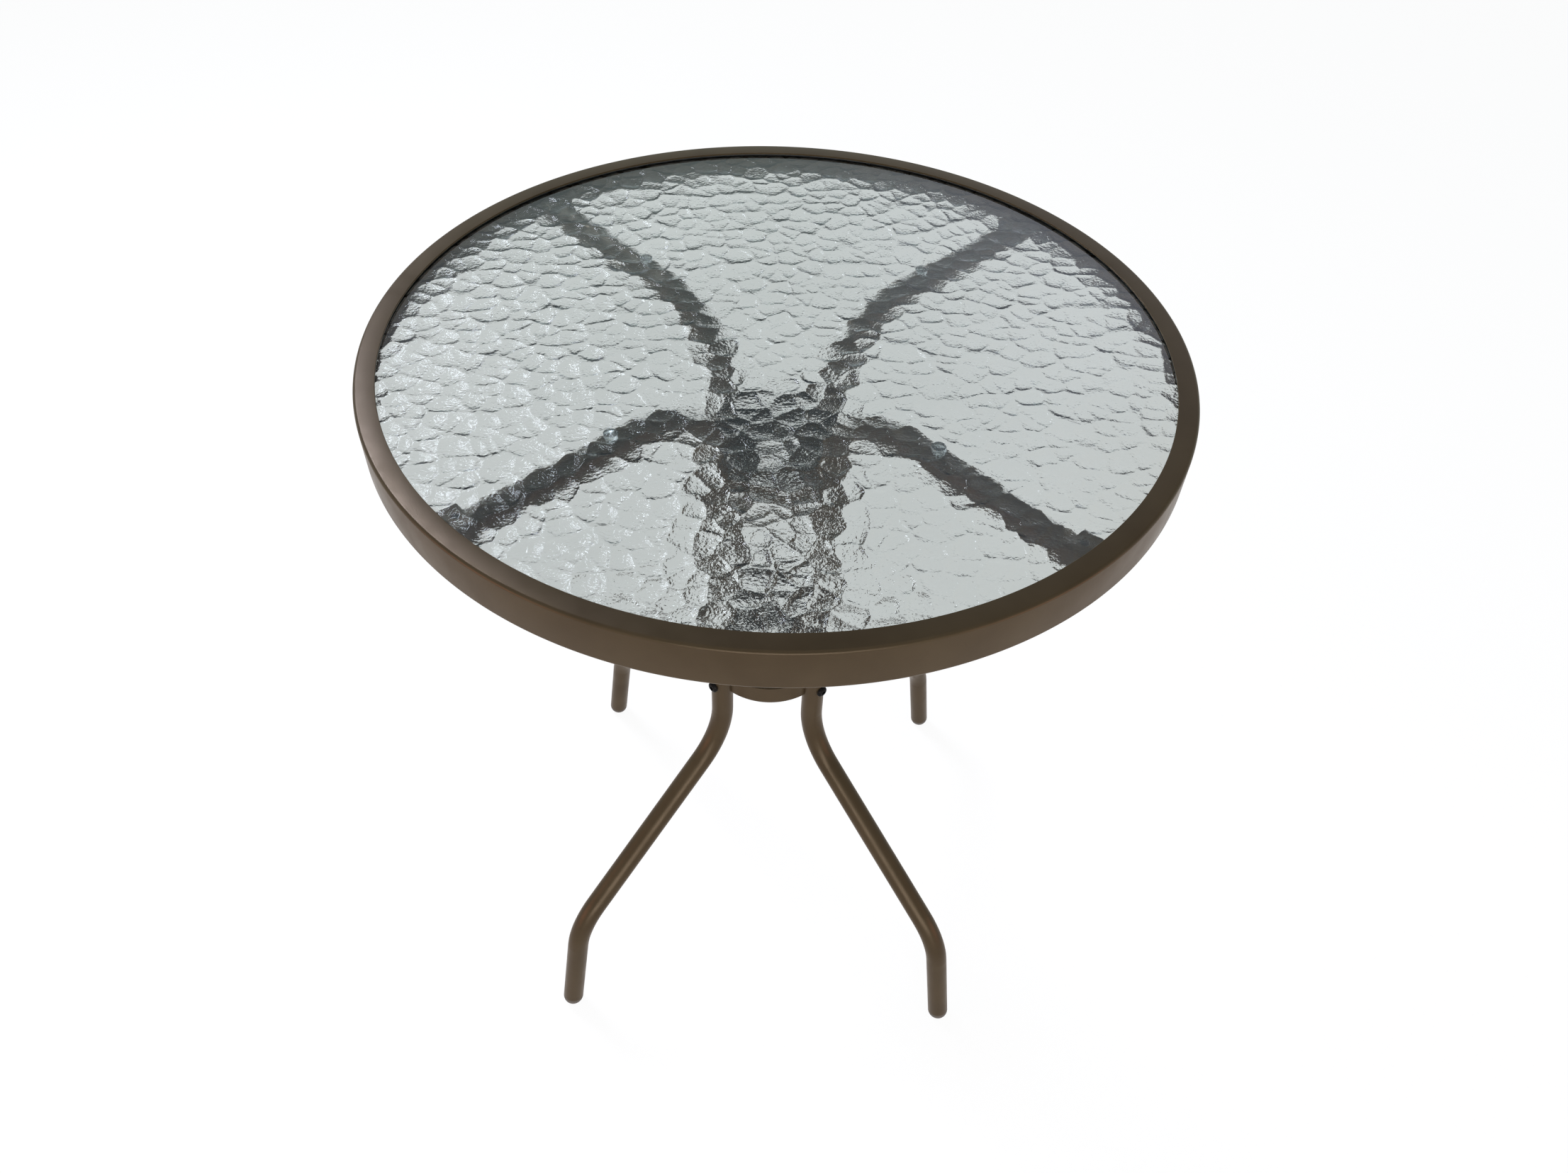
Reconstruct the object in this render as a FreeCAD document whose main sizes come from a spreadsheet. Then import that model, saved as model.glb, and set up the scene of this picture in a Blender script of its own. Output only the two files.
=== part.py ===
import FreeCAD, Part
import math
import os
import Sketcher

# Round garden table: a rippled glass top in a steel rim, carried by four bent tube legs
# that are bolted to two pressed hubs in the middle and to brackets inside the rim.
# Millimetres, +Z up, origin on the floor under the middle of the top.

Vector = FreeCAD.Vector
Z_AXIS = Vector(0, 0, 1)
START_POINT, END_POINT, CENTRE_POINT = range(1, 4)

# Sizes that can be set by themselves.
SIZES = {
    # Rim: rolled sheet with a flat lip, an upright skirt and a narrow hem turned inwards
    "top_diameter": 600.0,
    "table_height": 700.0,
    "rim_sheet": 1.5,
    "lip_width": 15.0,
    "rim_depth": 32.5,
    "rim_bend_radius": 2.6,
    "hem_width": 5.0,
    "hem_bend_radius": 2.5,
    # Glass and the channel of soft seal round its edge
    "glass_thickness": 5.0,
    "glass_edge_radius": 1.0,
    "glass_entry_gap": 0.4,
    "seal_wall": 1.0,
    "seal_setback": 1.5,
    "seal_gap": 0.2,
    # Brackets inside the rim, open downwards over the ends of the arms
    "bracket_sheet": 2.0,
    "bracket_bend_radius": 1.0,
    "bracket_length": 30.0,
    "bracket_cheek_drop": 4.0,
    "bracket_side_gap": 0.15,
    "bracket_weld_gap": 0.1,
    "bracket_bolt_inset": 7.0,
    "collar_wall": 1.2,
    "collar_depth": 3.0,
    "collar_gap": 0.5,
    # Bent tube legs
    "tube_diameter": 20.0,
    "tube_wall": 1.2,
    "arm_end_gap": 1.2,
    "shoulder_bend_radius": 75.0,
    "waist_bend_radius": 77.0,
    "ankle_bend_radius": 77.0,
    "waist_height": 278.5,
    "ankle_reach": 246.7,
    "ankle_height": 125.8,
    "foot_flare": 23.3,
    # Plastic plugs in the lower ends of the tubes
    "plug_stem_length": 22.0,
    "plug_play": 0.15,
    "plug_collar": 2.0,
    "foot_flat_depth": 0.8,
    # Hubs that hold the legs together: pressed dishes with a hollow in the wall for each leg
    "leg_reach": 59.1,
    "hub_setback": 1.1,
    "hub_sheet": 2.0,
    "hub_height": 21.0,
    "hub_bend_radius": 3.0,
    "hub_hole_diameter": 32.0,
    "lower_hub_rise": 74.5,
    "upper_hub_drop": 18.2,
    # Fasteners
    "bolt_diameter": 6.0,
    "bolt_head_diameter": 10.5,
    "bolt_head_height": 3.3,
    "bolt_head_edge_radius": 2.6,
    "bolt_tip_radius": 0.6,
    "bolt_tip_length": 1.5,
    "bolt_hole_play": 0.5,
    "thread_play": 0.1,
    "socket_width": 4.0,
    "socket_depth": 2.0,
    "nut_width": 10.0,
    "nut_thickness": 5.0,
    "washer_diameter": 12.0,
    "washer_thickness": 1.6,
    # Clear pads between the arms and the glass
    "pad_diameter": 10.0,
    "pad_reach": 155.0,
    # Clearance between pieces that rest against each other
    "seat_gap": 0.1,
}

# Sizes that follow from those above.
FOLLOWING_SIZES = {
    "rim_radius": "top_diameter / 2",
    "lip_radius": "rim_radius - lip_width",
    "lip_underside": "table_height - rim_sheet",
    "skirt_radius": "rim_radius - rim_sheet",
    "hem_radius": "rim_radius - hem_width",
    "rim_bottom": "table_height - rim_depth",
    "glass_radius": "hem_radius - glass_entry_gap",
    "seal_radius": "glass_radius + seal_gap + seal_wall",
    "seal_inner_radius": "lip_radius + seal_setback",
    "seal_top": "lip_underside - seat_gap",
    "glass_top": "seal_top - seal_wall",
    "glass_underside": "glass_top - glass_thickness",
    "seal_bottom": "glass_underside - seal_wall",
    "web_top": "seal_bottom - seat_gap",
    "web_underside": "web_top - bracket_sheet",
    "tube_radius": "tube_diameter / 2",
    "bore_radius": "tube_radius - tube_wall",
    "arm_top": "web_underside - seat_gap",
    "arm_level": "arm_top - tube_radius",
    "arm_bottom": "arm_level - tube_radius",
    "arm_end": "hem_radius - arm_end_gap",
    "cheek_inner": "tube_radius + bracket_side_gap",
    "cheek_outer": "cheek_inner + bracket_sheet",
    "cheek_bottom": "arm_level - bracket_cheek_drop",
    "bracket_outer_bend": "bracket_bend_radius + bracket_sheet",
    "bracket_outer_end": "sqrt(skirt_radius^2 - cheek_outer^2) - bracket_weld_gap",
    "bracket_inner_end": "bracket_outer_end - bracket_length",
    "bracket_bolt_reach": "bracket_inner_end + bracket_bolt_inset",
    "hub_radius": "leg_reach - hub_setback",
    "hub_hole_radius": "hub_hole_diameter / 2",
    "hollow_radius": "tube_radius + seat_gap",
    "lower_hub_level": "waist_height + lower_hub_rise",
    "upper_hub_level": "arm_level - shoulder_bend_radius - upper_hub_drop",
    "foot_splay": "atan(foot_flare / ankle_height)",
    "foot_centre_level": "tube_radius - foot_flat_depth",
    "foot_centre_reach": "ankle_reach + foot_flare - foot_centre_level * tan(foot_splay)",
    "tube_end_level": "foot_centre_level + plug_collar * cos(foot_splay)",
    "tube_end_reach": "foot_centre_reach - plug_collar * sin(foot_splay)",
    "bolt_radius": "bolt_diameter / 2",
    "bolt_head_radius": "bolt_head_diameter / 2",
    "bolt_hole_radius": "bolt_radius + bolt_hole_play / 2",
    "thread_radius": "bolt_radius + thread_play / 2",
    "collar_radius": "thread_radius + collar_wall",
    "collar_hole_radius": "collar_radius + collar_gap",
    "nut_corner_radius": "nut_width / sqrt(3)",
    "nut_seat": "leg_reach - hollow_radius - hub_sheet - seat_gap",
    "hub_bolt_seat": "leg_reach + tube_radius + seat_gap",
    "hub_bolt_length": "hub_bolt_seat - nut_seat + nut_thickness + bolt_tip_length",
    "washer_top": "arm_bottom - seat_gap",
    "bracket_bolt_seat": "washer_top - washer_thickness",
    "bracket_bolt_length": "web_top - seat_gap - bracket_bolt_seat",
    "pad_radius": "pad_diameter / 2",
}

# The legs stand at equal turns round the middle, the front pair turned equally to either side.
LEG_PLACES = ("front_right", "back_right", "back_left", "front_left")
LEG_COUNT = len(LEG_PLACES)
LEG_TURN = math.degrees(math.tau) / LEG_COUNT
FIRST_LEG_AZIMUTH = -LEG_TURN / 2

doc = FreeCAD.newDocument("garden_table")
dim = doc.addObject("Spreadsheet::Sheet", "dim")
sub_parts = []


def fill_sheet():
    row = 1
    for alias, number in SIZES.items():
        dim.set(f"A{row}", alias)
        dim.set(f"B{row}", str(number))
        dim.setAlias(f"B{row}", alias)
        row += 1
    for alias, formula in FOLLOWING_SIZES.items():
        dim.set(f"A{row}", alias)
        dim.set(f"B{row}", "=" + formula)
        dim.setAlias(f"B{row}", alias)
        row += 1
    doc.recompute()


def value(expression):
    result = dim.evalExpression(expression)
    return float(getattr(result, "Value", result))


def new_body(label, azimuth):
    body = doc.addObject("PartDesign::Body", label)
    body.Label = label
    body.Placement = FreeCAD.Placement(Vector(), FreeCAD.Rotation(Z_AXIS, azimuth))
    sub_parts.append(body)
    return body


def origin_feature(body, role):
    return next(feature for feature in body.Origin.OriginFeatures if feature.Role == role)


def new_sketch(body, purpose, plane, shift_x="0", shift_y="0", lift="0", turn=0):
    sketch = body.newObject("Sketcher::SketchObject", f"{body.Name}_{purpose}")
    sketch.AttachmentSupport = [(origin_feature(body, plane), "")]
    sketch.MapMode = "FlatFace"
    sketch.AttachmentOffset = FreeCAD.Placement(Vector(), FreeCAD.Rotation(Z_AXIS, turn))
    sketch.setExpression("AttachmentOffset.Base.x", shift_x)
    sketch.setExpression("AttachmentOffset.Base.y", shift_y)
    sketch.setExpression("AttachmentOffset.Base.z", lift)
    return sketch


def constrain_point(sketch, geometry, point, x, y):
    """Hold a sketch point at two expressions, or on the sketch's own axis where one is zero."""
    for kind, axis, expression in (("DistanceX", -2, x), ("DistanceY", -1, y)):
        if expression == "0":
            sketch.addConstraint(Sketcher.Constraint("PointOnObject", geometry, point, axis))
        else:
            distance = Sketcher.Constraint(kind, -1, START_POINT, geometry, point, value(expression))
            index = sketch.addConstraint(distance)
            sketch.setExpression(f"Constraints[{index}]", expression)


def constrain_radius(sketch, geometry, expression):
    index = sketch.addConstraint(Sketcher.Constraint("Radius", geometry, value(expression)))
    sketch.setExpression(f"Constraints[{index}]", expression)


def draw_circles(sketch, *circles):
    for x, y, radius in circles:
        circle = Part.Circle(Vector(value(x), value(y), 0), Z_AXIS, value(radius))
        geometry = sketch.addGeometry(circle, False)
        constrain_point(sketch, geometry, CENTRE_POINT, x, y)
        constrain_radius(sketch, geometry, radius)


def corner_arc(before, corner, after, radius):
    """Arc that rounds a corner, with its two tangent points and whether it turns left."""
    arrive = (corner - before).normalize()
    leave = (after - corner).normalize()
    turn = arrive.getAngle(leave)
    tangent_length = radius * math.tan(turn / 2)
    start = corner - arrive * tangent_length
    end = corner + leave * tangent_length
    left = arrive.cross(leave).z > 0
    side = Vector(-arrive.y, arrive.x, 0) * (radius if left else -radius)
    centre = start + side
    first, last = (start, end) if left else (end, start)
    angles = [math.atan2(point.y - centre.y, point.x - centre.x) for point in (first, last)]
    arc = Part.ArcOfCircle(Part.Circle(centre, Z_AXIS, radius), angles[0], angles[1])
    return arc, start, end, left


def draw_runs(sketch, corners, closed=True):
    """Straight runs through corners (x, y), each rounded where a third expression gives a radius."""
    count = len(corners)
    places = [Vector(value(corner[0]), value(corner[1]), 0) for corner in corners]
    arcs = {}
    for i, corner in enumerate(corners):
        if len(corner) == 3:
            before, after = places[i - 1], places[(i + 1) % count]
            arcs[i] = corner_arc(before, places[i], after, value(corner[2]))
    lines = {}
    arc_geometry = {}
    for i in range(count if closed else count - 1):
        j = (i + 1) % count
        start = arcs[i][2] if i in arcs else places[i]
        end = arcs[j][1] if j in arcs else places[j]
        lines[i] = sketch.addGeometry(Part.LineSegment(start, end), False)
        if j in arcs:
            arc_geometry[j] = sketch.addGeometry(arcs[j][0], False)
    for i, corner in enumerate(corners):
        line_in = lines.get((i - 1) % count)
        line_out = lines.get(i)
        if i in arcs:
            arc = arc_geometry[i]
            entry, leaving = (START_POINT, END_POINT) if arcs[i][3] else (END_POINT, START_POINT)
            sketch.addConstraint(Sketcher.Constraint("Tangent", line_in, END_POINT, arc, entry))
            sketch.addConstraint(Sketcher.Constraint("Tangent", arc, leaving, line_out, START_POINT))
            constrain_radius(sketch, arc, corner[2])
            mark = sketch.addGeometry(Part.Point(places[i]), True)
            sketch.addConstraint(Sketcher.Constraint("PointOnObject", mark, START_POINT, line_in))
            sketch.addConstraint(Sketcher.Constraint("PointOnObject", mark, START_POINT, line_out))
            constrain_point(sketch, mark, START_POINT, corner[0], corner[1])
            continue
        if line_in is not None and line_out is not None:
            joined = Sketcher.Constraint("Coincident", line_in, END_POINT, line_out, START_POINT)
            sketch.addConstraint(joined)
        if line_out is not None:
            constrain_point(sketch, line_out, START_POINT, corner[0], corner[1])
        else:
            constrain_point(sketch, line_in, END_POINT, corner[0], corner[1])


def draw_hexagon(sketch, width):
    half = f"{width} / 2"
    corner = f"{width} / sqrt(3)"
    half_corner = f"{width} / (2 * sqrt(3))"
    draw_runs(sketch, [
        (half, half_corner),
        ("0", corner),
        (f"-{half}", half_corner),
        (f"-{half}", f"-{half_corner}"),
        ("0", f"-{corner}"),
        (half, f"-{half_corner}"),
    ])


def revolve(body, sketch, kind="PartDesign::Revolution"):
    doc.recompute()
    feature = body.newObject(kind, sketch.Name + "_turned")
    feature.Profile = sketch
    feature.ReferenceAxis = (sketch, ["V_Axis"])
    feature.Angle = 360
    body.Tip = feature
    doc.recompute()
    return feature


def pad(body, sketch, length, backwards=False):
    doc.recompute()
    feature = body.newObject("PartDesign::Pad", sketch.Name + "_pad")
    feature.Profile = sketch
    feature.setExpression("Length", length)
    feature.Reversed = backwards
    body.Tip = feature
    doc.recompute()
    return feature


def pocket(body, sketch, length, backwards=False):
    doc.recompute()
    volume_before = body.Tip.Shape.Volume
    feature = body.newObject("PartDesign::Pocket", sketch.Name + "_pocket")
    feature.Profile = sketch
    feature.setExpression("Length", length)
    feature.Reversed = backwards
    body.Tip = feature
    doc.recompute()
    if feature.Shape.Volume >= volume_before:
        raise RuntimeError(feature.Name + " cuts nothing")
    return feature


def repeat_round_axis(body, originals):
    feature = body.newObject("PartDesign::PolarPattern", body.Name + "_pattern")
    feature.Originals = originals
    feature.Axis = (origin_feature(body, "Z_Axis"), [""])
    feature.Angle = 360
    feature.Occurrences = LEG_COUNT
    body.Tip = feature
    doc.recompute()
    return feature


def make_rim():
    body = new_body("rim_hoop", 0)
    profile = new_sketch(body, "profile", "XZ_Plane")
    draw_runs(profile, [
        ("dim.lip_radius", "dim.lip_underside"),
        ("dim.skirt_radius", "dim.lip_underside", "dim.rim_bend_radius - dim.rim_sheet"),
        ("dim.skirt_radius", "dim.rim_bottom + dim.rim_sheet", "dim.hem_bend_radius - dim.rim_sheet"),
        ("dim.hem_radius", "dim.rim_bottom + dim.rim_sheet"),
        ("dim.hem_radius", "dim.rim_bottom"),
        ("dim.rim_radius", "dim.rim_bottom", "dim.hem_bend_radius"),
        ("dim.rim_radius", "dim.table_height", "dim.rim_bend_radius"),
        ("dim.lip_radius", "dim.table_height"),
    ])
    revolve(body, profile)


def make_glass():
    body = new_body("glass_top", 0)
    profile = new_sketch(body, "profile", "XZ_Plane")
    draw_runs(profile, [
        ("0", "dim.glass_underside"),
        ("dim.glass_radius", "dim.glass_underside", "dim.glass_edge_radius"),
        ("dim.glass_radius", "dim.glass_top", "dim.glass_edge_radius"),
        ("0", "dim.glass_top"),
    ])
    revolve(body, profile)


def make_seal():
    body = new_body("glass_edge_seal", 0)
    profile = new_sketch(body, "profile", "XZ_Plane")
    draw_runs(profile, [
        ("dim.seal_inner_radius", "dim.seal_bottom"),
        ("dim.seal_radius", "dim.seal_bottom"),
        ("dim.seal_radius", "dim.seal_top"),
        ("dim.seal_inner_radius", "dim.seal_top"),
        ("dim.seal_inner_radius", "dim.glass_top"),
        ("dim.seal_radius - dim.seal_wall", "dim.glass_top"),
        ("dim.seal_radius - dim.seal_wall", "dim.glass_underside"),
        ("dim.seal_inner_radius", "dim.glass_underside"),
    ])
    revolve(body, profile)


def make_leg(place, azimuth):
    """One tube: arm under the glass, upright past both hubs, slanted out, then down to the floor."""
    body = new_body(f"leg_{place}", azimuth)
    path = new_sketch(body, "path", "XZ_Plane")
    draw_runs(path, [
        ("dim.arm_end", "dim.arm_level"),
        ("dim.leg_reach", "dim.arm_level", "dim.shoulder_bend_radius"),
        ("dim.leg_reach", "dim.waist_height", "dim.waist_bend_radius"),
        ("dim.ankle_reach", "dim.ankle_height", "dim.ankle_bend_radius"),
        ("dim.tube_end_reach", "dim.tube_end_level"),
    ], closed=False)
    section = new_sketch(body, "section", "YZ_Plane", shift_y="dim.arm_level", lift="dim.arm_end")
    draw_circles(section, ("0", "0", "dim.tube_radius"), ("0", "0", "dim.bore_radius"))
    doc.recompute()
    tube = body.newObject("PartDesign::AdditivePipe", body.Name + "_tube")
    tube.Profile = section
    tube.Spine = (path, [f"Edge{i + 1}" for i in range(len(path.Shape.Edges))])
    body.Tip = tube
    doc.recompute()
    expected = math.pi * (value("dim.tube_radius") ** 2 - value("dim.bore_radius") ** 2) * path.Shape.Length
    if abs(tube.Shape.Volume / expected - 1) > 0.001:
        raise RuntimeError(f"{body.Name}: tube volume {tube.Shape.Volume:.0f}, expected {expected:.0f}")

    hub_holes = new_sketch(body, "hub_holes", "YZ_Plane")
    draw_circles(
        hub_holes,
        ("0", "dim.lower_hub_level", "dim.bolt_hole_radius"),
        ("0", "dim.upper_hub_level", "dim.bolt_hole_radius"),
    )
    pocket(body, hub_holes, "dim.hub_bolt_seat", backwards=True)
    bolt_hole = new_sketch(body, "bolt_hole", "XY_Plane", lift="dim.arm_level")
    draw_circles(bolt_hole, ("dim.bracket_bolt_reach", "0", "dim.bolt_hole_radius"))
    pocket(body, bolt_hole, "dim.tube_diameter")
    collar_hole = new_sketch(body, "collar_hole", "XY_Plane", lift="dim.arm_level")
    draw_circles(collar_hole, ("dim.bracket_bolt_reach", "0", "dim.collar_hole_radius"))
    pocket(body, collar_hole, "dim.tube_diameter", backwards=True)


def make_foot_plug(place, azimuth):
    """Domed plastic plug whose stem fills the tube's lower end, with a small flat on the floor."""
    label = f"foot_plug_{place}"
    dome = doc.addObject("Part::Sphere", label + "_dome")
    dome.Angle1 = -90
    dome.Angle2 = 0
    dome.setExpression("Radius", "dim.tube_radius")
    collar = doc.addObject("Part::Cylinder", label + "_collar")
    collar.setExpression("Radius", "dim.tube_radius")
    collar.setExpression("Height", "dim.plug_collar")
    stem = doc.addObject("Part::Cylinder", label + "_stem")
    stem.setExpression("Radius", "dim.bore_radius - dim.plug_play")
    stem.setExpression("Height", "dim.plug_collar + dim.plug_stem_length")
    tilt = FreeCAD.Rotation(Vector(0, -1, 0), value("dim.foot_splay"))
    for piece in (dome, collar, stem):
        piece.Placement = FreeCAD.Placement(Vector(), tilt)
        piece.setExpression("Placement.Base.x", "dim.foot_centre_reach")
        piece.setExpression("Placement.Base.z", "dim.foot_centre_level")
        piece.setExpression("Placement.Rotation.Angle", "dim.foot_splay")
    whole = doc.addObject("Part::MultiFuse", label + "_whole")
    whole.Shapes = [dome, collar, stem]
    floor = doc.addObject("Part::Box", label + "_floor")
    for side in ("Length", "Width", "Height"):
        floor.setExpression(side, "2 * dim.tube_diameter")
    floor.setExpression("Placement.Base.x", "dim.foot_centre_reach - dim.tube_diameter")
    floor.setExpression("Placement.Base.y", "-dim.tube_diameter")
    floor.setExpression("Placement.Base.z", "-2 * dim.tube_diameter")
    plug = doc.addObject("Part::Cut", label)
    plug.Label = label
    plug.Base = whole
    plug.Tool = floor
    plug.Placement = FreeCAD.Placement(Vector(), FreeCAD.Rotation(Z_AXIS, azimuth))
    sub_parts.append(plug)


def make_hub(name):
    """Pressed dish with a hole in its floor and four hollows in its wall, where the legs lie against it."""
    level = f"dim.{name}_level"
    low = f"{level} - dim.hub_height / 2"
    high = f"{level} + dim.hub_height / 2"
    floor_top = f"{low} + dim.hub_sheet"
    inner_radius = "dim.hub_radius - dim.hub_sheet"
    beyond = "dim.leg_reach + dim.tube_diameter"
    body = new_body(name, FIRST_LEG_AZIMUTH)
    profile = new_sketch(body, "profile", "XZ_Plane")
    draw_runs(profile, [
        ("dim.hub_hole_radius", low),
        ("dim.hub_radius", low, "dim.hub_bend_radius"),
        ("dim.hub_radius", high),
        (inner_radius, high),
        (inner_radius, floor_top, "dim.hub_bend_radius - dim.hub_sheet"),
        ("dim.hub_hole_radius", floor_top),
    ])
    revolve(body, profile)
    hollow = new_sketch(body, "hollow", "XY_Plane", shift_x="dim.leg_reach", lift=low)
    draw_circles(hollow, ("0", "0", "dim.hollow_radius + dim.hub_sheet"))
    repeat_round_axis(body, [pad(body, hollow, "dim.hub_height")])
    seat = new_sketch(body, "seat", "XY_Plane", shift_x="dim.leg_reach", lift=low)
    draw_circles(seat, ("0", "0", "dim.hollow_radius"))
    repeat_round_axis(body, [pocket(body, seat, "dim.hub_height", backwards=True)])
    waste = new_sketch(body, "waste", "XZ_Plane")
    draw_runs(waste, [
        (f"{inner_radius} - dim.hub_bend_radius", low),
        ("dim.hub_radius", low, "dim.hub_bend_radius"),
        ("dim.hub_radius", f"{high} + dim.hub_sheet"),
        (beyond, f"{high} + dim.hub_sheet"),
        (beyond, f"{low} - dim.hub_sheet"),
        (f"{inner_radius} - dim.hub_bend_radius", f"{low} - dim.hub_sheet"),
    ])
    revolve(body, waste, "PartDesign::Groove")
    hole = new_sketch(body, "hole", "YZ_Plane", shift_y=level)
    draw_circles(hole, ("0", "0", "dim.bolt_hole_radius"))
    repeat_round_axis(body, [pocket(body, hole, beyond, backwards=True)])


def draw_bolt(sketch, length):
    """Half outline of a button-head bolt: head above the sketch's X axis, shank below it."""
    draw_runs(sketch, [
        ("0", f"-{length}"),
        ("dim.bolt_radius", f"-{length}", "dim.bolt_tip_radius"),
        ("dim.bolt_radius", "0"),
        ("dim.bolt_head_radius", "0"),
        ("dim.bolt_head_radius", "dim.bolt_head_height", "dim.bolt_head_edge_radius"),
        ("0", "dim.bolt_head_height"),
    ])


def make_hub_fasteners(name):
    """Bolts pushed in from outside through leg and hub, and the nuts inside the hub."""
    level = f"dim.{name}_level"
    bolts = new_body(f"{name}_bolts", FIRST_LEG_AZIMUTH)
    shape = new_sketch(bolts, "shape", "XZ_Plane", shift_x="dim.hub_bolt_seat", shift_y=level, turn=-90)
    draw_bolt(shape, "dim.hub_bolt_length")
    bolt = revolve(bolts, shape)
    socket = new_sketch(
        bolts, "socket", "YZ_Plane", shift_y=level, lift="dim.hub_bolt_seat + dim.bolt_head_height"
    )
    draw_hexagon(socket, "dim.socket_width")
    repeat_round_axis(bolts, [bolt, pocket(bolts, socket, "dim.socket_depth")])

    nuts = new_body(f"{name}_nuts", FIRST_LEG_AZIMUTH)
    outline = new_sketch(nuts, "outline", "YZ_Plane", shift_y=level, lift="dim.nut_seat")
    draw_hexagon(outline, "dim.nut_width")
    draw_circles(outline, ("0", "0", "dim.thread_radius"))
    repeat_round_axis(nuts, [pad(nuts, outline, "dim.nut_thickness", backwards=True)])


def make_bracket(place, azimuth):
    """Bent saddle welded inside the skirt: the arm's end is pushed up into it and bolted."""
    body = new_body(f"rim_bracket_{place}", azimuth)
    section = new_sketch(body, "section", "YZ_Plane", lift="dim.bracket_inner_end")
    draw_runs(section, [
        ("dim.cheek_inner", "dim.cheek_bottom"),
        ("dim.cheek_outer", "dim.cheek_bottom"),
        ("dim.cheek_outer", "dim.web_top", "dim.bracket_outer_bend"),
        ("-dim.cheek_outer", "dim.web_top", "dim.bracket_outer_bend"),
        ("-dim.cheek_outer", "dim.cheek_bottom"),
        ("-dim.cheek_inner", "dim.cheek_bottom"),
        ("-dim.cheek_inner", "dim.web_underside", "dim.bracket_bend_radius"),
        ("dim.cheek_inner", "dim.web_underside", "dim.bracket_bend_radius"),
    ])
    pad(body, section, "dim.bracket_length")
    collar = new_sketch(body, "collar", "XY_Plane", shift_x="dim.bracket_bolt_reach", lift="dim.web_underside")
    draw_circles(collar, ("0", "0", "dim.collar_radius"))
    pad(body, collar, "dim.collar_depth", backwards=True)
    thread = new_sketch(body, "thread", "XY_Plane", shift_x="dim.bracket_bolt_reach", lift="dim.web_top")
    draw_circles(thread, ("0", "0", "dim.thread_radius"))
    pocket(body, thread, "dim.bracket_sheet + dim.collar_depth")


def make_bracket_fasteners():
    """Bolts from below through the arms into the brackets' threaded collars, with flat washers."""
    bolts = new_body("bracket_bolts", FIRST_LEG_AZIMUTH)
    reach = "dim.bracket_bolt_reach"
    shape = new_sketch(bolts, "shape", "XZ_Plane", shift_x=reach, shift_y="dim.bracket_bolt_seat", turn=180)
    draw_bolt(shape, "dim.bracket_bolt_length")
    bolt = revolve(bolts, shape)
    socket = new_sketch(
        bolts, "socket", "XY_Plane", shift_x=reach, lift="dim.bracket_bolt_seat - dim.bolt_head_height"
    )
    draw_hexagon(socket, "dim.socket_width")
    repeat_round_axis(bolts, [bolt, pocket(bolts, socket, "dim.socket_depth", backwards=True)])

    washers = new_body("bracket_washers", FIRST_LEG_AZIMUTH)
    outline = new_sketch(washers, "outline", "XY_Plane", shift_x=reach, lift="dim.washer_top")
    draw_circles(outline, ("0", "0", "dim.washer_diameter / 2"), ("0", "0", "dim.bolt_hole_radius"))
    repeat_round_axis(washers, [pad(washers, outline, "dim.washer_thickness", backwards=True)])


def make_glass_pads():
    """Round pads on top of the arms, hollowed underneath to sit on the tube."""
    body = new_body("glass_pads", FIRST_LEG_AZIMUTH)
    disc = new_sketch(body, "disc", "XY_Plane", shift_x="dim.pad_reach", lift="dim.glass_underside")
    draw_circles(disc, ("0", "0", "dim.pad_radius"))
    pad_feature = pad(body, disc, "dim.glass_underside - dim.arm_level", backwards=True)
    hollow = new_sketch(body, "hollow", "YZ_Plane", shift_y="dim.arm_level")
    draw_circles(hollow, ("0", "0", "dim.tube_radius + dim.seat_gap"))
    hollow_feature = pocket(body, hollow, "dim.pad_reach + dim.pad_diameter", backwards=True)
    repeat_round_axis(body, [pad_feature, hollow_feature])


def check_document():
    for item in doc.Objects:
        if "Invalid" in item.State or "Error" in item.State:
            raise RuntimeError(f"{item.Name} did not recompute: {item.State}")
    for item in sub_parts:
        if item.Shape.isNull() or not item.Shape.isValid():
            raise RuntimeError(f"{item.Label} has no valid shape")


def write_parts():
    os.makedirs("parts", exist_ok=True)
    for item in sub_parts:
        item.Shape.exportStep(f"parts/{item.Label}.step")
        box = item.Shape.BoundBox
        print(
            f"{item.Label}: {len(item.Shape.Solids)} solid(s), {item.Shape.Volume:.1f} mm3, "
            f"z {box.ZMin:.2f} to {box.ZMax:.2f}"
        )


fill_sheet()
make_rim()
make_glass()
make_seal()
for leg_index, leg_place in enumerate(LEG_PLACES):
    leg_azimuth = FIRST_LEG_AZIMUTH + leg_index * LEG_TURN
    make_leg(leg_place, leg_azimuth)
    make_foot_plug(leg_place, leg_azimuth)
    make_bracket(leg_place, leg_azimuth)
for hub_name in ("lower_hub", "upper_hub"):
    make_hub(hub_name)
    make_hub_fasteners(hub_name)
make_bracket_fasteners()
make_glass_pads()
doc.recompute()
check_document()
write_parts()
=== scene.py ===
import math

import bpy
import numpy as np
from mathutils import Matrix, Vector


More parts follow.
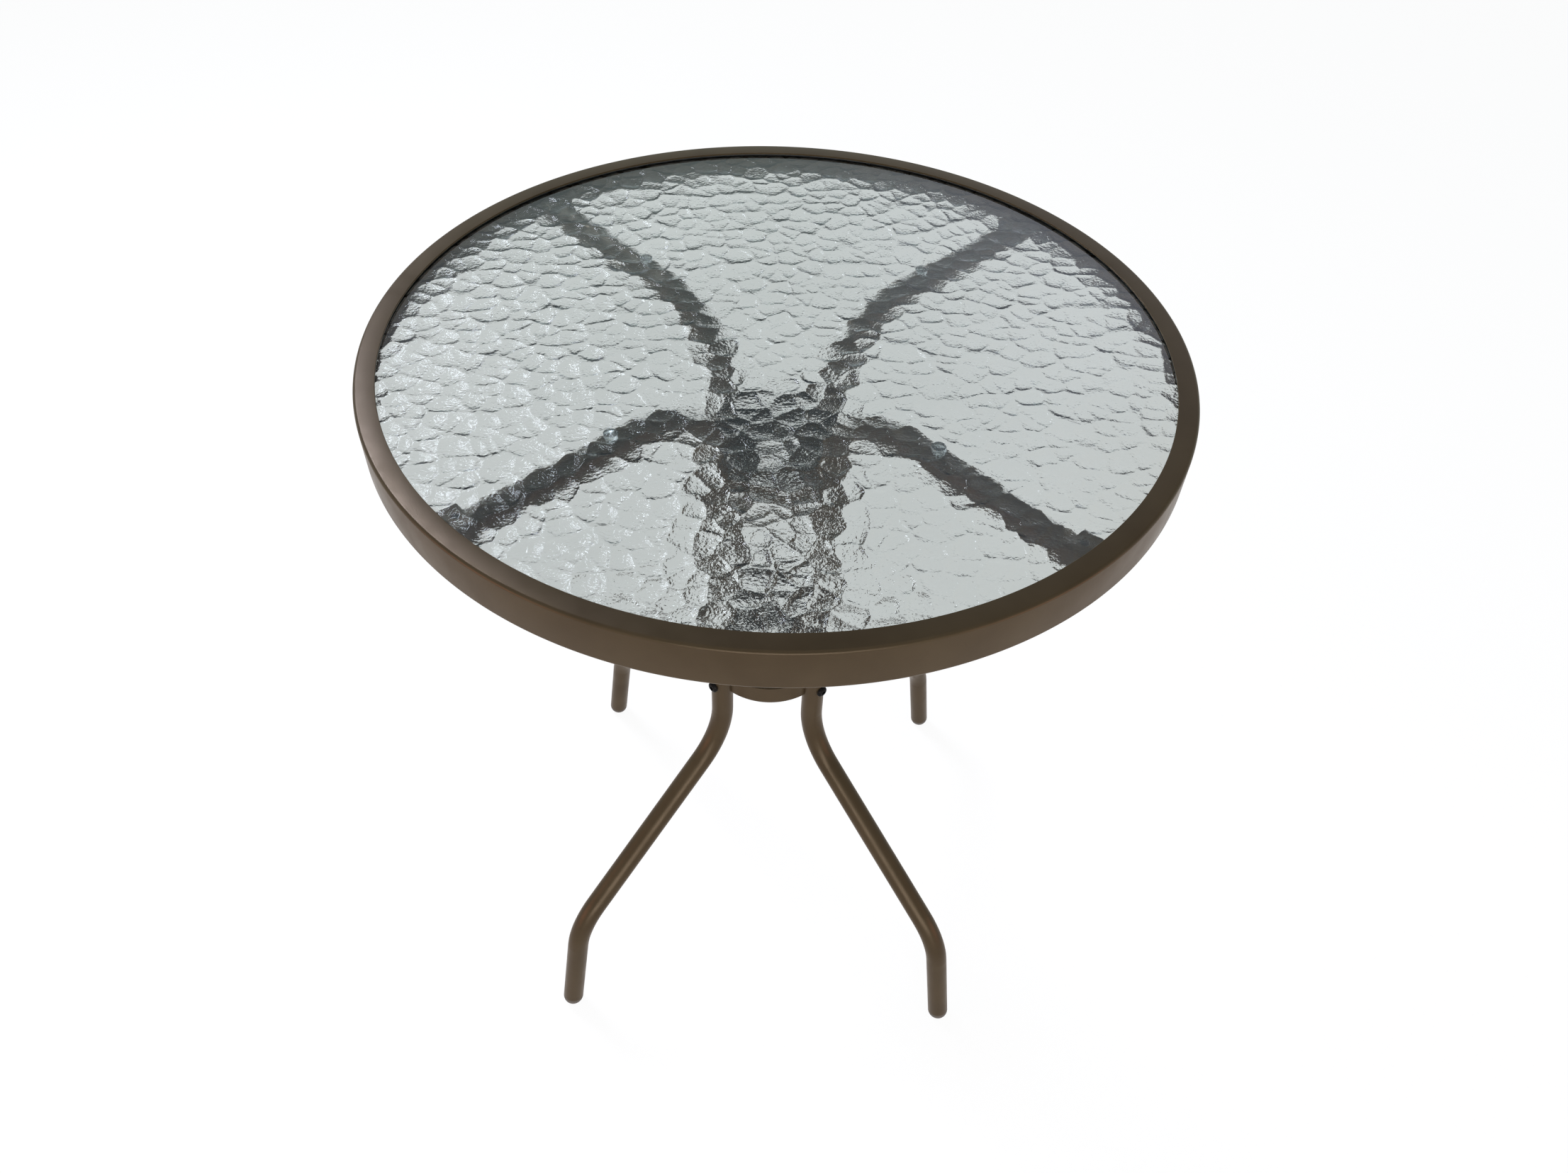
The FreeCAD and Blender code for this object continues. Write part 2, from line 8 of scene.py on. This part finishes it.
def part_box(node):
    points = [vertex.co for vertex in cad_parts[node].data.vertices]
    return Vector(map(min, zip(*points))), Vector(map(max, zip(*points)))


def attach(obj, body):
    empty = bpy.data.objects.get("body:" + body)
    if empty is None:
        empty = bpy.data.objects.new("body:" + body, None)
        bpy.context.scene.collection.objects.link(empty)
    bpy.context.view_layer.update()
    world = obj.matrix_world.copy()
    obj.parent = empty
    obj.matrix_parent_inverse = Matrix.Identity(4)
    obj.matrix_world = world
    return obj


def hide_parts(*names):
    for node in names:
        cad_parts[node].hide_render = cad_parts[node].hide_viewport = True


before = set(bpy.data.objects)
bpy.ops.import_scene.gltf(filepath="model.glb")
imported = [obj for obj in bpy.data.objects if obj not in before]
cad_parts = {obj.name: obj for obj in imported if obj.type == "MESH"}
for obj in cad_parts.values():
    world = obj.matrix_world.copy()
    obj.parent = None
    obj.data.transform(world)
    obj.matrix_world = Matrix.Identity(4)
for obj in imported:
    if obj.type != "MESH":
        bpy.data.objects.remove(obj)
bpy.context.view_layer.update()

# Camera: where the photograph was taken from, in metres and degrees, and its focal length in photo pixels.
PHOTO_WIDTH = 2212
FOCAL_PIXELS = 1661.08
SENSOR_WIDTH = 36.0
CAMERA_PLACE = Vector((0.00755, -0.72106, 1.19671))
CAMERA_PAN = math.radians(0.277)
CAMERA_TILT = math.radians(46.464)
CAMERA_ROLL = math.radians(2.567)

# Rippled glass: sizes in metres. Creases run between the domed pebbles of the underside.
PEBBLE_PITCH = 0.0155
PEBBLE_RADIUS = 0.0100
PEBBLE_WARP = 0.0034
WARP_WAVELENGTH = 0.013
DOME_DEPTH = 0.00022
CREASE_DEPTH = 0.00074
CREASE_WIDTH = 0.0017
CREASE_FADE_WAVELENGTH = 0.017
RIPPLE_DEPTH = 0.00006
RIPPLE_WAVELENGTH = 0.0050
GLASS_EDGE_RADIUS = 0.001
GLASS_CLEAN_EDGE = 0.004

# Rippled glass: shares and counts. The jitter is a share of the pitch.
PEBBLE_JITTER = 0.46
CREASE_STRENGTH = 0.65
CREASE_FADE = 0.35
PEBBLES_ACROSS = 48
PEBBLE_SEARCH = 2
NOISE_SIDE = 160
GLASS_EDGE_STEPS = 4
GLASS_GRID = 481
SEED_PEBBLES, SEED_WARP_X, SEED_WARP_Y, SEED_FADE, SEED_RIPPLE = 11, 12, 13, 14, 15

# Rim: sizes of the rolled sheet in metres.
LIP_WIDTH = 0.015
RIM_SHEET = 0.0015
LIP_BEND_RADIUS = 0.0026
HEM_WIDTH = 0.005
HEM_BEND_RADIUS = 0.0025
SHEET_EDGE_RADIUS = 0.0004
BEND_STEPS = 8
RIM_SIDES = 640

# Materials: the part of a noise's range that is used, and values of the glass and the pads.
NOISE_SPREAD = (0.3, 0.7)
GLASS_IOR = 1.52
GLASS_SKIN_DEPTH = 0.00036
LAMP_LIGHT_THROUGH_GLASS = (0.80, 0.84, 0.83, 1.0)
PAD_IOR = 1.42
PAD_TRANSMISSION = 0.97

# Floor: its size in metres, its look, and the share of white glow where it is seen.
FLOOR_RADIUS = 8.0
FLOOR_SIDES = 128
FLOOR_COLOR = (0.90, 0.90, 0.89, 1.0)
FLOOR_ROUGHNESS = 0.9
FLOOR_GLOW = 0.92

# Room around the table: its colours low down and overhead, and the heights between which they change,
# where 0 is level and 1 straight up.
ROOM_LOW_COLOR = (0.84, 1.00, 0.96, 1.0)
ROOM_HIGH_COLOR = (0.26, 0.32, 0.38, 1.0)
ROOM_CHANGE = (0.36, 0.66)

# Broad glows in the room: direction, spread in degrees and colour.
ROOM_GLOWS = [
    ((-0.62, 0.62, 0.48), 30.0, (0.58, 0.57, 0.64, 1.0)),
    ((0.40, 0.82, 0.40), 26.0, (1.00, 1.06, 1.22, 1.0)),
    ((0.48, 0.48, 0.62), 24.0, (0.62, 0.54, 0.42, 1.0)),
]

# Lamps: name, place, the point they face, width, height, brightness and colour.
TOP_MIDDLE = (0.0, 0.0, 0.69)
TOP_LEFT = (-0.25, 0.0, 0.69)
TABLE_MIDDLE = (0.0, 0.0, 0.45)
LAMPS = [
    ("overhead_panel", (0.0, -0.7, 3.1), TOP_MIDDLE, 2.2, 2.2, 1.0, (1.0, 0.99, 0.97)),
    ("window_left", (-1.30, 1.24, 2.30), TOP_LEFT, 0.7, 0.7, 40.0, (0.83, 0.86, 1.0)),
    ("window_front", (0.15, -2.50, 0.75), TABLE_MIDDLE, 1.8, 1.0, 10.5, (0.93, 0.94, 1.0)),
    ("warm_left", (-1.9, -1.0, 0.55), TABLE_MIDDLE, 1.4, 0.8, 4.0, (1.0, 0.40, 0.28)),
    ("warm_right", (1.9, -1.0, 0.45), TABLE_MIDDLE, 1.4, 0.7, 3.2, (1.0, 0.38, 0.28)),
]

CORNERS = ("front_left", "front_right", "back_left", "back_right")


def add_object(name, data):
    """A new object in the scene."""
    item = bpy.data.objects.new(name, data)
    bpy.context.scene.collection.objects.link(item)
    return item


def smooth_noise(x, y, wavelength, seed):
    """Gently rolling values from -1 to 1, about one rise or fall per wavelength."""
    lattice = np.random.default_rng(seed).uniform(-1.0, 1.0, (NOISE_SIDE, NOISE_SIDE))
    u = x / wavelength + NOISE_SIDE / 2
    v = y / wavelength + NOISE_SIDE / 2
    i = np.floor(u).astype(int)
    j = np.floor(v).astype(int)
    s = (u - i) ** 2 * (3 - 2 * (u - i))
    t = (v - j) ** 2 * (3 - 2 * (v - j))
    near = lattice[i, j] * (1 - s) + lattice[i + 1, j] * s
    far = lattice[i, j + 1] * (1 - s) + lattice[i + 1, j + 1] * s
    return near * (1 - t) + far * t


def pebble_distances(x, y):
    """Distance from each point to the middle of its own pebble, and to that of the next nearest one."""
    rng = np.random.default_rng(SEED_PEBBLES)
    jitter = rng.uniform(-PEBBLE_JITTER, PEBBLE_JITTER, (PEBBLES_ACROSS, PEBBLES_ACROSS, 2))
    u = x / PEBBLE_PITCH + PEBBLES_ACROSS / 2
    v = y / PEBBLE_PITCH + PEBBLES_ACROSS / 2
    i = np.floor(u).astype(int)
    j = np.floor(v).astype(int)
    nearest = np.full(x.shape, np.inf)
    second = np.full(x.shape, np.inf)
    steps = range(-PEBBLE_SEARCH, PEBBLE_SEARCH + 1)
    for di in steps:
        for dj in steps:
            shift = jitter[i + di, j + dj]
            away = np.hypot(i + di + 0.5 + shift[..., 0] - u, j + dj + 0.5 + shift[..., 1] - v)
            second = np.minimum(second, np.maximum(nearest, away))
            nearest = np.minimum(nearest, away)
    return nearest * PEBBLE_PITCH, second * PEBBLE_PITCH


def underside_rise(x, y, radius):
    """How far the underside of the glass lies above its lowest level: creases between domed pebbles."""
    warped_x = x + PEBBLE_WARP * smooth_noise(x, y, WARP_WAVELENGTH, SEED_WARP_X)
    warped_y = y + PEBBLE_WARP * smooth_noise(x, y, WARP_WAVELENGTH, SEED_WARP_Y)
    nearest, second = pebble_distances(warped_x, warped_y)
    border = np.clip(np.minimum((second - nearest) / 2, PEBBLE_RADIUS - nearest), 0.0, None)
    strength = CREASE_STRENGTH + CREASE_FADE * smooth_noise(x, y, CREASE_FADE_WAVELENGTH, SEED_FADE)
    crease = CREASE_DEPTH * strength * np.exp(-border / CREASE_WIDTH)
    dome = DOME_DEPTH * (2 * nearest / PEBBLE_PITCH) ** 2
    ripple = RIPPLE_DEPTH * (1 + smooth_noise(x, y, RIPPLE_WAVELENGTH, SEED_RIPPLE))
    from_edge = radius - GLASS_EDGE_RADIUS - np.hypot(x, y)
    return (crease + dome + ripple) * np.clip(from_edge / GLASS_CLEAN_EDGE, 0.0, 1.0)


def disc_points(radius, count):
    """x and y of a square grid of points pressed into an even disc."""
    line = np.linspace(-1.0, 1.0, count)
    u, v = np.meshgrid(line, line, indexing="ij")
    wide = np.abs(u) > np.abs(v)
    reach = np.where(wide, u, v)
    safe = np.where(reach == 0, 1.0, reach)
    angle = np.where(wide, v / safe * math.pi / 4, math.pi / 2 - u / safe * math.pi / 4)
    return radius * reach * np.cos(angle), radius * reach * np.sin(angle)


def rippled_glass():
    """The glass sheet: flat top, rounded edge and pebbled underside, as one closed mesh."""
    low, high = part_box("glass_top")
    radius = (high.x - low.x) / 2
    bottom, top = low.z, high.z
    edge = GLASS_EDGE_RADIUS
    count = GLASS_GRID

    # Underside: a grid of four-sided faces.
    x, y = disc_points(radius - edge, count)
    z = bottom + underside_rise(x, y, radius)
    points = [np.stack((x, y, z), axis=-1).reshape(-1, 3)]
    index = np.arange(count * count).reshape(count, count)
    corners = (index[:-1, :-1], index[:-1, 1:], index[1:, 1:], index[1:, :-1])
    faces = np.stack(corners, axis=-1).reshape(-1, 4).tolist()

    # Edge: rings from the border of the grid, round the edge and up to the top.
    ring = np.concatenate((index[:-1, 0], index[-1, :-1], index[:0:-1, -1], index[0, :0:-1]))
    around = points[0][ring, :2] / (radius - edge)
    turns = np.linspace(0.0, math.pi / 2, GLASS_EDGE_STEPS + 1)
    profile = [(radius - edge + edge * math.sin(a), bottom + edge - edge * math.cos(a)) for a in turns[1:]]
    profile += [(radius - edge + edge * math.cos(a), top - edge + edge * math.sin(a)) for a in turns]
    total = count * count
    for ring_radius, level in profile:
        points.append(np.column_stack((around * ring_radius, np.full(len(ring), level))))
        upper = np.arange(total, total + len(ring))
        total += len(ring)
        faces += np.column_stack((ring, np.roll(ring, -1), np.roll(upper, -1), upper)).tolist()
        ring = upper

    # Top: a flat fan round its middle.
    points.append(np.array([[0.0, 0.0, top]]))
    flat_from = len(faces)
    faces += [[a, b, total] for a, b in zip(ring.tolist(), np.roll(ring, -1).tolist())]

    mesh = bpy.data.meshes.new("rippled_glass")
    mesh.from_pydata(np.concatenate(points).tolist(), [], faces)
    smooth = np.arange(len(faces)) < flat_from
    mesh.polygons.foreach_set("use_smooth", smooth)
    mesh.update()
    return add_object("rippled_glass", mesh)


def rounded_outline(corners):
    """Closed outline through (radius, height, bend radius) corners, with an arc at each one."""
    points = []
    for index, (r, z, bend) in enumerate(corners):
        corner = Vector((r, z))
        before = (Vector(corners[index - 1][:2]) - corner).normalized()
        after = (Vector(corners[(index + 1) % len(corners)][:2]) - corner).normalized()
        centre = corner + bend * (before + after)
        for turn in np.linspace(0.0, math.pi / 2, BEND_STEPS + 1):
            points.append(centre - bend * (math.sin(turn) * before + math.cos(turn) * after))
    return points


def rolled_rim():
    """The steel rim with finely divided bends: flat lip, upright skirt and the hem turned in below."""
    low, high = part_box("rim_hoop")
    radius = min(high.x, high.y, -low.x, -low.y)
    bottom, top = low.z, high.z
    sheet, edge = RIM_SHEET, SHEET_EDGE_RADIUS
    outline = rounded_outline([
        (radius - LIP_WIDTH, top, edge),
        (radius, top, LIP_BEND_RADIUS),
        (radius, bottom, HEM_BEND_RADIUS),
        (radius - HEM_WIDTH, bottom, edge),
        (radius - HEM_WIDTH, bottom + sheet, edge),
        (radius - sheet, bottom + sheet, HEM_BEND_RADIUS - sheet),
        (radius - sheet, top - sheet, LIP_BEND_RADIUS - sheet),
        (radius - LIP_WIDTH, top - sheet, edge),
    ])
    count = len(outline)
    points = []
    for turn in np.linspace(0.0, 2 * math.pi, RIM_SIDES, endpoint=False):
        points += [(r * math.cos(turn), r * math.sin(turn), z) for r, z in outline]
    faces = []
    for side in range(RIM_SIDES):
        here, there = side * count, (side + 1) % RIM_SIDES * count
        for index in range(count):
            follow = (index + 1) % count
            faces.append((here + index, here + follow, there + follow, there + index))
    mesh = bpy.data.meshes.new("rolled_rim")
    mesh.from_pydata(points, [], faces)
    mesh.shade_smooth()
    return add_object("rolled_rim", mesh)


def new_material(name):
    """A node material with a principled shader; gives the material, its tree and the shader."""
    material = bpy.data.materials.new(name)
    material.use_nodes = True
    tree = material.node_tree
    return material, tree, tree.nodes["Principled BSDF"]


def object_position(tree):
    """The place on the object that is being shaded."""
    return tree.nodes.new("ShaderNodeTexCoord").outputs["Object"]


def add_height(tree, vector):
    """The upward part of a vector."""
    node = tree.nodes.new("ShaderNodeSeparateXYZ")
    tree.links.new(vector, node.inputs["Vector"])
    return node.outputs["Z"]


def add_math(tree, operation, first, second):
    """Two values put together by an operation."""
    node = tree.nodes.new("ShaderNodeMath")
    node.operation = operation
    tree.links.new(first, node.inputs[0])
    tree.links.new(second, node.inputs[1])
    return node.outputs["Value"]


def add_noise(tree, place, scale, detail=2.0):
    """Cloudy values; a higher scale gives smaller clouds."""
    node = tree.nodes.new("ShaderNodeTexNoise")
    node.inputs["Scale"].default_value = scale
    node.inputs["Detail"].default_value = detail
    tree.links.new(place, node.inputs["Vector"])
    return node.outputs["Fac"]


def add_range(tree, value, start, end, low, high):
    """value, from start to end, spread over low to high."""
    node = tree.nodes.new("ShaderNodeMapRange")
    node.inputs["From Min"].default_value = start
    node.inputs["From Max"].default_value = end
    node.inputs["To Min"].default_value = low
    node.inputs["To Max"].default_value = high
    tree.links.new(value, node.inputs["Value"])
    return node.outputs["Result"]


def add_blend(tree, factor, first, second):
    """A colour between first and second, each of them a colour or another node's output."""
    node = tree.nodes.new("ShaderNodeMix")
    node.data_type = "RGBA"
    color_inputs = [i for i in node.inputs if i.type == "RGBA"]
    for color_input, color in zip(color_inputs, (first, second)):
        if isinstance(color, bpy.types.NodeSocket):
            tree.links.new(color, color_input)
        else:
            color_input.default_value = color
    tree.links.new(factor, node.inputs["Factor"])
    return next(o for o in node.outputs if o.type == "RGBA")


def add_bump(tree, shader, height, distance, strength=1.0):
    """An uneven skin on the shader, up to distance metres deep."""
    node = tree.nodes.new("ShaderNodeBump")
    node.inputs["Strength"].default_value = strength
    node.inputs["Distance"].default_value = distance
    tree.links.new(height, node.inputs["Height"])
    tree.links.new(node.outputs["Normal"], shader.inputs["Normal"])


def add_tone(tree, shader, place, first, second, scale, detail=3.0, spread=NOISE_SPREAD):
    """Base colour that wanders in clouds between two colours."""
    clouds = add_range(tree, add_noise(tree, place, scale, detail), *spread, 0.0, 1.0)
    tree.links.new(add_blend(tree, clouds, first, second), shader.inputs["Base Color"])


def add_gloss(tree, shader, place, low, high, scale, detail=3.0):
    """Roughness that wanders in patches between low and high."""
    patches = add_range(tree, add_noise(tree, place, scale, detail), *NOISE_SPREAD, low, high)
    tree.links.new(patches, shader.inputs["Roughness"])


def add_grain(tree, shader, place, scale, depth, strength):
    """A fine, even grain."""
    add_bump(tree, shader, add_noise(tree, place, scale), depth, strength)


def any_ray(tree, kinds):
    """1 for rays of any of these kinds, otherwise 0."""
    path = tree.nodes.new("ShaderNodeLightPath")
    value = path.outputs[kinds[0]]
    for kind in kinds[1:]:
        value = add_math(tree, "MAXIMUM", value, path.outputs[kind])
    return value


def choose_shader(tree, factor, first, second, output):
    """Shows first where factor is 0 and second where it is 1."""
    choose = tree.nodes.new("ShaderNodeMixShader")
    tree.links.new(factor, choose.inputs["Fac"])
    tree.links.new(first, choose.inputs[1])
    tree.links.new(second, choose.inputs[2])
    tree.links.new(choose.outputs["Shader"], tree.nodes[output].inputs["Surface"])


def paint_material():
    """Dark brown satin powder coat: cloudy tone, slightly uneven gloss and a fine orange-peel skin."""
    material, tree, shader = new_material("brown_powder_coat")
    place = object_position(tree)
    add_tone(tree, shader, place, (0.0330, 0.0226, 0.0122, 1.0), (0.0415, 0.0292, 0.0160, 1.0), scale=22.0)
    add_gloss(tree, shader, place, 0.28, 0.37, scale=60.0)
    add_grain(tree, shader, place, scale=900.0, depth=0.00006, strength=0.5)
    shader.inputs["Metallic"].default_value = 0.15
    shader.inputs["Specular IOR Level"].default_value = 0.13
    shader.inputs["Specular Tint"].default_value = (1.0, 0.77, 0.57, 1.0)
    return material


def plug_material():
    """Moulded brown plastic, duller than the paint, with a fine spark-eroded grain."""
    material, tree, shader = new_material("brown_moulded_plastic")
    place = object_position(tree)
    add_tone(tree, shader, place, (0.036, 0.026, 0.017, 1.0), (0.047, 0.034, 0.023, 1.0), scale=70.0)
    add_gloss(tree, shader, place, 0.42, 0.56, scale=140.0)
    add_grain(tree, shader, place, scale=1400.0, depth=0.00006, strength=0.5)
    return material


def black_bolt_material():
    """Blackened steel: near black, with little shine, a little browner in patches."""
    material, tree, shader = new_material("black_bolt_steel")
    place = object_position(tree)
    add_tone(tree, shader, place, (0.004, 0.004, 0.004, 1.0), (0.009, 0.008, 0.007, 1.0),
             scale=180.0, detail=4.0, spread=(0.35, 0.65))
    add_gloss(tree, shader, place, 0.22, 0.36, scale=420.0)
    add_grain(tree, shader, place, scale=1500.0, depth=0.00003, strength=0.4)
    shader.inputs["Specular IOR Level"].default_value = 0.03
    return material


def zinc_material():
    """Zinc-plated steel: pale blue-grey metal with a faint spangle."""
    material, tree, shader = new_material("zinc_plated_steel")
    place = object_position(tree)
    add_tone(tree, shader, place, (0.46, 0.47, 0.48, 1.0), (0.62, 0.62, 0.60, 1.0), scale=300.0, detail=4.0)
    add_gloss(tree, shader, place, 0.26, 0.42, scale=520.0)
    add_grain(tree, shader, place, scale=1800.0, depth=0.00003, strength=0.4)
    shader.inputs["Metallic"].default_value = 1.0
    return material


def seal_material():
    """Black soft vinyl, dull, with dust-grey patches."""
    material, tree, shader = new_material("black_vinyl_seal")
    place = object_position(tree)
    add_tone(tree, shader, place, (0.012, 0.012, 0.012, 1.0), (0.028, 0.027, 0.025, 1.0),
             scale=120.0, detail=4.0, spread=(0.35, 0.7))
    add_gloss(tree, shader, place, 0.50, 0.68, scale=260.0)
    add_grain(tree, shader, place, scale=900.0, depth=0.00006, strength=0.5)
    return material


def pad_material():
    """Clear soft pads: milky, slightly uneven."""
    material, tree, shader = new_material("clear_soft_pads")
    place = object_position(tree)
    add_tone(tree, shader, place, (0.80, 0.83, 0.84, 1.0), (0.88, 0.90, 0.90, 1.0), scale=200.0)
    add_gloss(tree, shader, place, 0.16, 0.30, scale=320.0)
    add_grain(tree, shader, place, scale=900.0, depth=0.00004, strength=0.4)
    shader.inputs["Transmission Weight"].default_value = PAD_TRANSMISSION
    shader.inputs["IOR"].default_value = PAD_IOR
    return material


def glass_material():
    """Grey-green glass with a fine uneven skin below; the lamps shine through it. Its tone is partly the
    glass's own green tint and partly painted shade, so that the white floor seen through it comes out grey
    like a floor in shade.
    """
    material, tree, shader = new_material("rippled_glass")
    place = object_position(tree)
    # Painted shade: this tone is much darker than clear glass, so the floor seen through it looks grey and
    # shaded; only the slight green is the glass's own.
    add_tone(tree, shader, place, (0.535, 0.565, 0.550, 1.0), (0.565, 0.595, 0.580, 1.0),
             scale=6.0, detail=2.0)
    add_gloss(tree, shader, place, 0.0, 0.03, scale=90.0, detail=2.0)
    shader.inputs["Transmission Weight"].default_value = 1.0
    shader.inputs["IOR"].default_value = GLASS_IOR
    low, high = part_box("glass_top")
    middle, flat = (low.z + high.z) / 2, high.z - GLASS_EDGE_RADIUS
    underside = add_range(tree, add_height(tree, place), middle, flat, 1.0, 0.0)
    skin = add_math(tree, "MULTIPLY", add_noise(tree, place, scale=420.0), underside)
    add_bump(tree, shader, skin, GLASS_SKIN_DEPTH)
    clear = tree.nodes.new("ShaderNodeBsdfTransparent")
    clear.inputs["Color"].default_value = LAMP_LIGHT_THROUGH_GLASS
    shadow = any_ray(tree, ("Is Shadow Ray",))
    choose_shader(tree, shadow, shader.outputs["BSDF"], clear.outputs["BSDF"], "Material Output")
    return material


def floor_material():
    """Pale floor that glows towards white where it is seen, and keeps a faint shadow."""
    material, tree, shader = new_material("pale_floor")
    shader.inputs["Base Color"].default_value = FLOOR_COLOR
    shader.inputs["Roughness"].default_value = FLOOR_ROUGHNESS
    glow = tree.nodes.new("ShaderNodeEmission")
    seen = any_ray(tree, ("Is Camera Ray", "Is Glossy Ray", "Is Transmission Ray"))
    share = add_range(tree, seen, 0.0, 1.0, 0.0, FLOOR_GLOW)
    choose_shader(tree, share, shader.outputs["BSDF"], glow.outputs["Emission"], "Material Output")
    return material


def make_floor():
    """A wide round floor at the feet."""
    turns = np.linspace(0.0, 2 * math.pi, FLOOR_SIDES, endpoint=False)
    points = [(FLOOR_RADIUS * math.cos(a), FLOOR_RADIUS * math.sin(a), 0.0) for a in turns]
    mesh = bpy.data.meshes.new("floor")
    mesh.from_pydata(points, [], [list(range(FLOOR_SIDES))])
    mesh.materials.append(floor_material())
    floor = add_object("floor", mesh)


def add_glow(tree, direction, tone, center, spread, color):
    """tone, turned into color towards one direction of the room, fading out at spread degrees from it."""
    along = tree.nodes.new("ShaderNodeVectorMath")
    along.operation = "DOT_PRODUCT"
    along.inputs[1].default_value = Vector(center).normalized()
    tree.links.new(direction, along.inputs[0])
    near = add_range(tree, along.outputs["Value"], math.cos(math.radians(spread)), 1.0, 0.0, 1.0)
    near.node.interpolation_type = "SMOOTHSTEP"
    return add_blend(tree, near, tone, color)


def make_world():
    """White where the camera looks past the floor; otherwise a soft room with three broad glows."""
    world = bpy.data.worlds.new("soft_room")
    bpy.context.scene.world = world
    world.use_nodes = True
    tree = world.node_tree
    direction = tree.nodes.new("ShaderNodeTexCoord").outputs["Generated"]
    height = add_range(tree, add_height(tree, direction), *ROOM_CHANGE, 0.0, 1.0)
    tone = add_blend(tree, height, ROOM_LOW_COLOR, ROOM_HIGH_COLOR)
    for center, spread, color in ROOM_GLOWS:
        tone = add_glow(tree, direction, tone, center, spread, color)
    room = tree.nodes["Background"]
    tree.links.new(tone, room.inputs["Color"])
    white = tree.nodes.new("ShaderNodeBackground")
    white.inputs["Color"].default_value = (1.0, 1.0, 1.0, 1.0)
    seen = any_ray(tree, ("Is Camera Ray",))
    choose_shader(tree, seen, room.outputs["Background"], white.outputs["Background"], "World Output")


def make_lamp(name, place, target, width, height, brightness, color):
    """A soft rectangular lamp aimed at target; its brightness doesn't depend on its size."""
    data = bpy.data.lights.new(name, "AREA")
    data.shape = "RECTANGLE"
    data.size = width
    data.size_y = height
    data.energy = brightness * math.pi * width * height
    data.color = color
    lamp = add_object(name, data)
    lamp.location = place
    lamp.rotation_euler = (Vector(target) - Vector(place)).to_track_quat("-Z", "Y").to_euler()
    lamp.visible_camera = False


def make_camera():
    """The photograph's camera: panned and tilted, then rolled about its line of sight."""
    pan, tilt, roll = CAMERA_PAN, CAMERA_TILT, CAMERA_ROLL
    forward = Vector((math.sin(pan) * math.cos(tilt), math.cos(pan) * math.cos(tilt), -math.sin(tilt)))
    level = Vector((math.cos(pan), -math.sin(pan), 0.0))
    upright = level.cross(forward)
    right = math.cos(roll) * level + math.sin(roll) * upright
    up = math.cos(roll) * upright - math.sin(roll) * level
    data = bpy.data.cameras.new("photo_camera")
    data.sensor_fit = "HORIZONTAL"
    data.sensor_width = SENSOR_WIDTH
    data.lens = SENSOR_WIDTH * FOCAL_PIXELS / PHOTO_WIDTH
    camera = add_object("photo_camera", data)
    turn = Matrix((right, up, -forward)).transposed()
    camera.matrix_world = Matrix.Translation(CAMERA_PLACE) @ turn.to_4x4()
    bpy.context.scene.camera = camera


def dress(names, material):
    """Gives the named pieces of the frame a material."""
    for name in names:
        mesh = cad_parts[name].data
        mesh.materials.clear()
        mesh.materials.append(material)


make_camera()

paint = paint_material()
dress(["lower_hub", "upper_hub"], paint)
dress(["leg_" + corner for corner in CORNERS], paint)
dress(["rim_bracket_" + corner for corner in CORNERS], paint)
dress(["foot_plug_" + corner for corner in CORNERS], plug_material())
dress(["lower_hub_bolts", "upper_hub_bolts", "bracket_bolts"], black_bolt_material())
dress(["lower_hub_nuts", "upper_hub_nuts", "bracket_washers"], zinc_material())
dress(["glass_edge_seal"], seal_material())
dress(["glass_pads"], pad_material())

for piece, node, material, slot in (
    (rolled_rim(), "rim_hoop", paint, "frame_paint"),
    (rippled_glass(), "glass_top", glass_material(), "glass"),
):
    piece.data.materials.append(material)
    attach(piece, "root")
    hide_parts(node)

make_floor()
make_world()
for lamp in LAMPS:
    make_lamp(*lamp)
bpy.context.scene.view_settings.view_transform = "Standard"
